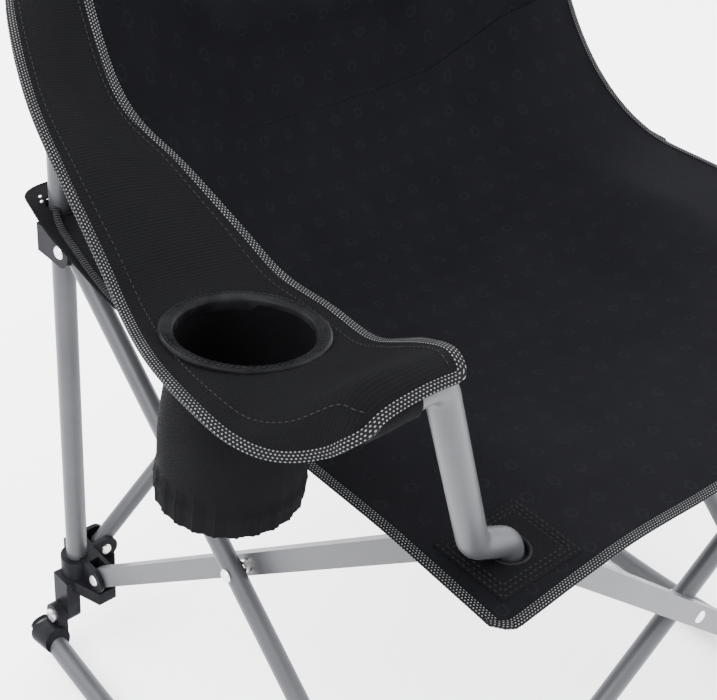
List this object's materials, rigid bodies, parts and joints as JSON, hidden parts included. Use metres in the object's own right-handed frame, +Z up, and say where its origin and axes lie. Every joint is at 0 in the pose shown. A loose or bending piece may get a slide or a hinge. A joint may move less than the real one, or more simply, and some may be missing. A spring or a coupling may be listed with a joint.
{
  "type": "folding camp rocking chair",
  "caption": "Quad-fold camp chair: crossed-bar frame, hanging fabric seat and back, arm slings with a cup pocket, and curved rocker rails under the feet",
  "frame": {"origin": "on the floor under the middle of the frame", "axes": "+Z up, the sitter looks along -Y, the sitter's right is -X"},
  "size_m": [0.814, 0.5825, 0.9609],
  "materials": {
    "tube_grey": "satin powder coat",
    "black_plastic": "moulded, lightly textured",
    "rivet_metal": "satin",
    "charcoal_fabric": "woven polyester",
    "binding_tape": "ribbed tape with pale stitches"
  },
  "bodies": {
    "rear_right_corner": {"rear_post_right": "tube_grey", "post_cap_right": "black_plastic", "foot_hub_rear_right": "black_plastic", "foot_rivets_rear_right": "rivet_metal", "rail_pivot_bolt_right": "rivet_metal", "back_panel": "charcoal_fabric"},
    "side_flat_right": {"side_flat_bar_right": "tube_grey", "cross_rivet_side_right": "rivet_metal"},
    "side_round_right": {"side_round_tube_right": "tube_grey"},
    "front_right_upper": {"upper_hub_front_right": "black_plastic", "upper_rivets_front_right": "rivet_metal", "arm_tube_right": "tube_grey", "seat_grommet_front_right": "black_plastic"},
    "front_right_foot": {"foot_hub_front_right": "black_plastic", "foot_rivets_front_right": "rivet_metal"},
    "rear_right_slider": {"upper_hub_rear_right": "black_plastic", "upper_rivets_rear_right": "rivet_metal", "seat_grommet_rear_right": "black_plastic"},
    "back_round": {"back_round_tube": "tube_grey", "cross_rivet_back": "rivet_metal"},
    "back_flat": {"back_flat_bar": "tube_grey"},
    "rear_left_slider": {"upper_hub_rear_left": "black_plastic", "upper_rivets_rear_left": "rivet_metal", "seat_grommet_rear_left": "black_plastic"},
    "rear_left_corner": {"rear_post_left": "tube_grey", "post_cap_left": "black_plastic", "foot_hub_rear_left": "black_plastic", "foot_rivets_rear_left": "rivet_metal", "rail_pivot_bolt_left": "rivet_metal"},
    "side_flat_left": {"side_flat_bar_left": "tube_grey", "cross_rivet_side_left": "rivet_metal"},
    "side_round_left": {"side_round_tube_left": "tube_grey"},
    "front_left_upper": {"upper_hub_front_left": "black_plastic", "upper_rivets_front_left": "rivet_metal", "arm_tube_left": "tube_grey", "seat_grommet_front_left": "black_plastic"},
    "front_left_foot": {"foot_hub_front_left": "black_plastic", "foot_rivets_front_left": "rivet_metal"},
    "front_round": {"front_round_tube": "tube_grey"},
    "front_flat": {"front_flat_bar": "tube_grey", "cross_rivet_front": "rivet_metal"},
    "seat_rear": {"seat_sheet_rear": "charcoal_fabric"},
    "seat_front": {"seat_sheet_front": "charcoal_fabric"},
    "rocker_right": {"rocker_rail_right": "tube_grey", "rail_caps_right": "black_plastic", "rail_clamp_front_right": "black_plastic", "rail_clamp_rear_right": "black_plastic", "rail_latch_pin_right": "rivet_metal"},
    "sling_rear_right": {"arm_sling_rear_right": "charcoal_fabric"},
    "sling_front_right": {"arm_sling_front_right": "charcoal_fabric", "cup_pocket": "charcoal_fabric", "cup_rim": "binding_tape"},
    "rocker_left": {"rocker_rail_left": "tube_grey", "rail_caps_left": "black_plastic", "rail_clamp_front_left": "black_plastic", "rail_clamp_rear_left": "black_plastic", "rail_latch_pin_left": "rivet_metal"},
    "sling_rear_left": {"arm_sling_rear_left": "charcoal_fabric"},
    "sling_front_left": {"arm_sling_front_left": "charcoal_fabric"}
  },
  "joints": [
    {"name": "fold", "type": "hinge", "parent": "rear_right_corner", "child": "side_flat_right", "pos_m": [-0.24, 0.21, 0.11], "axis": [-1, 0, 0], "range_deg": [0, 37.4], "deforming": ["seat_sheet_rear", "seat_sheet_front", "back_panel", "arm_sling_rear_right", "arm_sling_rear_left", "arm_sling_front_right", "arm_sling_front_left", "cup_pocket", "cup_rim"]},
    {"name": "side_cross_right", "type": "hinge", "parent": "side_flat_right", "child": "side_round_right", "pos_m": [-0.24, 0, 0.29], "axis": [-1, 0, 0], "range_deg": [-74.8, 0]},
    {"name": "front_right_upper_pivot", "type": "hinge", "parent": "side_flat_right", "child": "front_right_upper", "pos_m": [-0.24, -0.21, 0.47], "axis": [-1, 0, 0], "range_deg": [-37.4, 0]},
    {"name": "front_right_foot_pivot", "type": "hinge", "parent": "side_round_right", "child": "front_right_foot", "pos_m": [-0.24, -0.21, 0.11], "axis": [-1, 0, 0], "range_deg": [0, 37.4]},
    {"name": "rear_right_slider_pivot", "type": "hinge", "parent": "side_round_right", "child": "rear_right_slider", "pos_m": [-0.24, 0.21, 0.47], "axis": [-1, 0, 0], "range_deg": [0, 37.4]},
    {"name": "back_foot_pivot", "type": "hinge", "parent": "rear_right_corner", "child": "back_round", "pos_m": [-0.21, 0.24, 0.11], "axis": [0, -1, 0], "range_deg": [0, 37.4]},
    {"name": "back_cross", "type": "hinge", "parent": "back_round", "child": "back_flat", "pos_m": [0, 0.24, 0.29], "axis": [0, -1, 0], "range_deg": [-74.8, 0]},
    {"name": "rear_left_slider_pivot", "type": "hinge", "parent": "back_round", "child": "rear_left_slider", "pos_m": [0.21, 0.24, 0.47], "axis": [0, -1, 0], "range_deg": [-37.4, 0]},
    {"name": "rear_left_corner_pivot", "type": "hinge", "parent": "back_flat", "child": "rear_left_corner", "pos_m": [0.21, 0.24, 0.11], "axis": [0, -1, 0], "range_deg": [0, 37.4]},
    {"name": "side_left_foot_pivot", "type": "hinge", "parent": "rear_left_corner", "child": "side_flat_left", "pos_m": [0.24, 0.21, 0.11], "axis": [-1, 0, 0], "range_deg": [0, 37.4]},
    {"name": "side_cross_left", "type": "hinge", "parent": "side_flat_left", "child": "side_round_left", "pos_m": [0.24, 0, 0.29], "axis": [-1, 0, 0], "range_deg": [-74.8, 0]},
    {"name": "front_left_upper_pivot", "type": "hinge", "parent": "side_flat_left", "child": "front_left_upper", "pos_m": [0.24, -0.21, 0.47], "axis": [-1, 0, 0], "range_deg": [-37.4, 0]},
    {"name": "front_left_foot_pivot", "type": "hinge", "parent": "side_round_left", "child": "front_left_foot", "pos_m": [0.24, -0.21, 0.11], "axis": [-1, 0, 0], "range_deg": [0, 37.4]},
    {"name": "front_foot_pivot", "type": "hinge", "parent": "front_right_foot", "child": "front_round", "pos_m": [-0.21, -0.24, 0.11], "axis": [0, -1, 0], "range_deg": [0, 37.4]},
    {"name": "front_cross", "type": "hinge", "parent": "front_round", "child": "front_flat", "pos_m": [0, -0.24, 0.29], "axis": [0, -1, 0], "range_deg": [-74.8, 0]},
    {"name": "seat_rear_drop", "type": "hinge", "parent": "rear_right_slider", "child": "seat_rear", "pos_m": [-0.24, 0.24, 0.4865], "axis": [1, 0, 0], "range_deg": [0, 60.8]},
    {"name": "seat_fold", "type": "hinge", "parent": "seat_rear", "child": "seat_front", "pos_m": [0, 0, 0.4525], "axis": [-1, 0, 0], "range_deg": [0, 121.6]},
    {"name": "sling_nose_right", "type": "hinge", "parent": "front_right_upper", "child": "sling_front_right", "pos_m": [-0.36, -0.24, 0.65], "axis": [-1, 0, 0], "range_deg": [0, 92.4]},
    {"name": "sling_fold_right", "type": "hinge", "parent": "sling_front_right", "child": "sling_rear_right", "pos_m": [-0.34, 0.005, 0.662], "axis": [-1, 0, 0], "range_deg": [-115.1, 0]},
    {"name": "rocker_swing_right", "type": "hinge", "parent": "rear_right_corner", "child": "rocker_right", "pos_m": [-0.26, 0.24, 0.058], "axis": [-1, 0, 0], "range_deg": [0, 86.1]},
    {"name": "sling_nose_left", "type": "hinge", "parent": "front_left_upper", "child": "sling_front_left", "pos_m": [0.36, -0.24, 0.65], "axis": [-1, 0, 0], "range_deg": [0, 92.4]},
    {"name": "sling_fold_left", "type": "hinge", "parent": "sling_front_left", "child": "sling_rear_left", "pos_m": [0.34, 0.005, 0.662], "axis": [-1, 0, 0], "range_deg": [-115.1, 0]},
    {"name": "rocker_swing_left", "type": "hinge", "parent": "rear_left_corner", "child": "rocker_left", "pos_m": [0.26, 0.24, 0.058], "axis": [-1, 0, 0], "range_deg": [0, 86.1]}
  ],
  "couplings": [
    {"joint": "side_cross_right", "follows": "fold", "ratio": -2},
    {"joint": "front_right_upper_pivot", "follows": "fold", "ratio": -1},
    {"joint": "front_right_foot_pivot", "follows": "fold", "ratio": 1},
    {"joint": "rear_right_slider_pivot", "follows": "fold", "ratio": 1},
    {"joint": "back_foot_pivot", "follows": "fold", "ratio": 1},
    {"joint": "back_cross", "follows": "fold", "ratio": -2},
    {"joint": "rear_left_slider_pivot", "follows": "fold", "ratio": -1},
    {"joint": "rear_left_corner_pivot", "follows": "fold", "ratio": 1},
    {"joint": "side_left_foot_pivot", "follows": "fold", "ratio": 1},
    {"joint": "side_cross_left", "follows": "fold", "ratio": -2},
    {"joint": "front_left_upper_pivot", "follows": "fold", "ratio": -1},
    {"joint": "front_left_foot_pivot", "follows": "fold", "ratio": 1},
    {"joint": "front_foot_pivot", "follows": "fold", "ratio": 1},
    {"joint": "front_cross", "follows": "fold", "ratio": -2},
    {"joint": "seat_rear_drop", "follows": "fold", "ratio": 1.6251},
    {"joint": "seat_fold", "follows": "fold", "ratio": 3.2501},
    {"joint": "sling_nose_right", "follows": "fold", "ratio": 2.4704},
    {"joint": "sling_fold_right", "follows": "fold", "ratio": -3.0764},
    {"joint": "rocker_swing_right", "follows": "fold", "ratio": 2.2995},
    {"joint": "sling_nose_left", "follows": "fold", "ratio": 2.4704},
    {"joint": "sling_fold_left", "follows": "fold", "ratio": -3.0764},
    {"joint": "rocker_swing_left", "follows": "fold", "ratio": 2.2995}
  ]
}
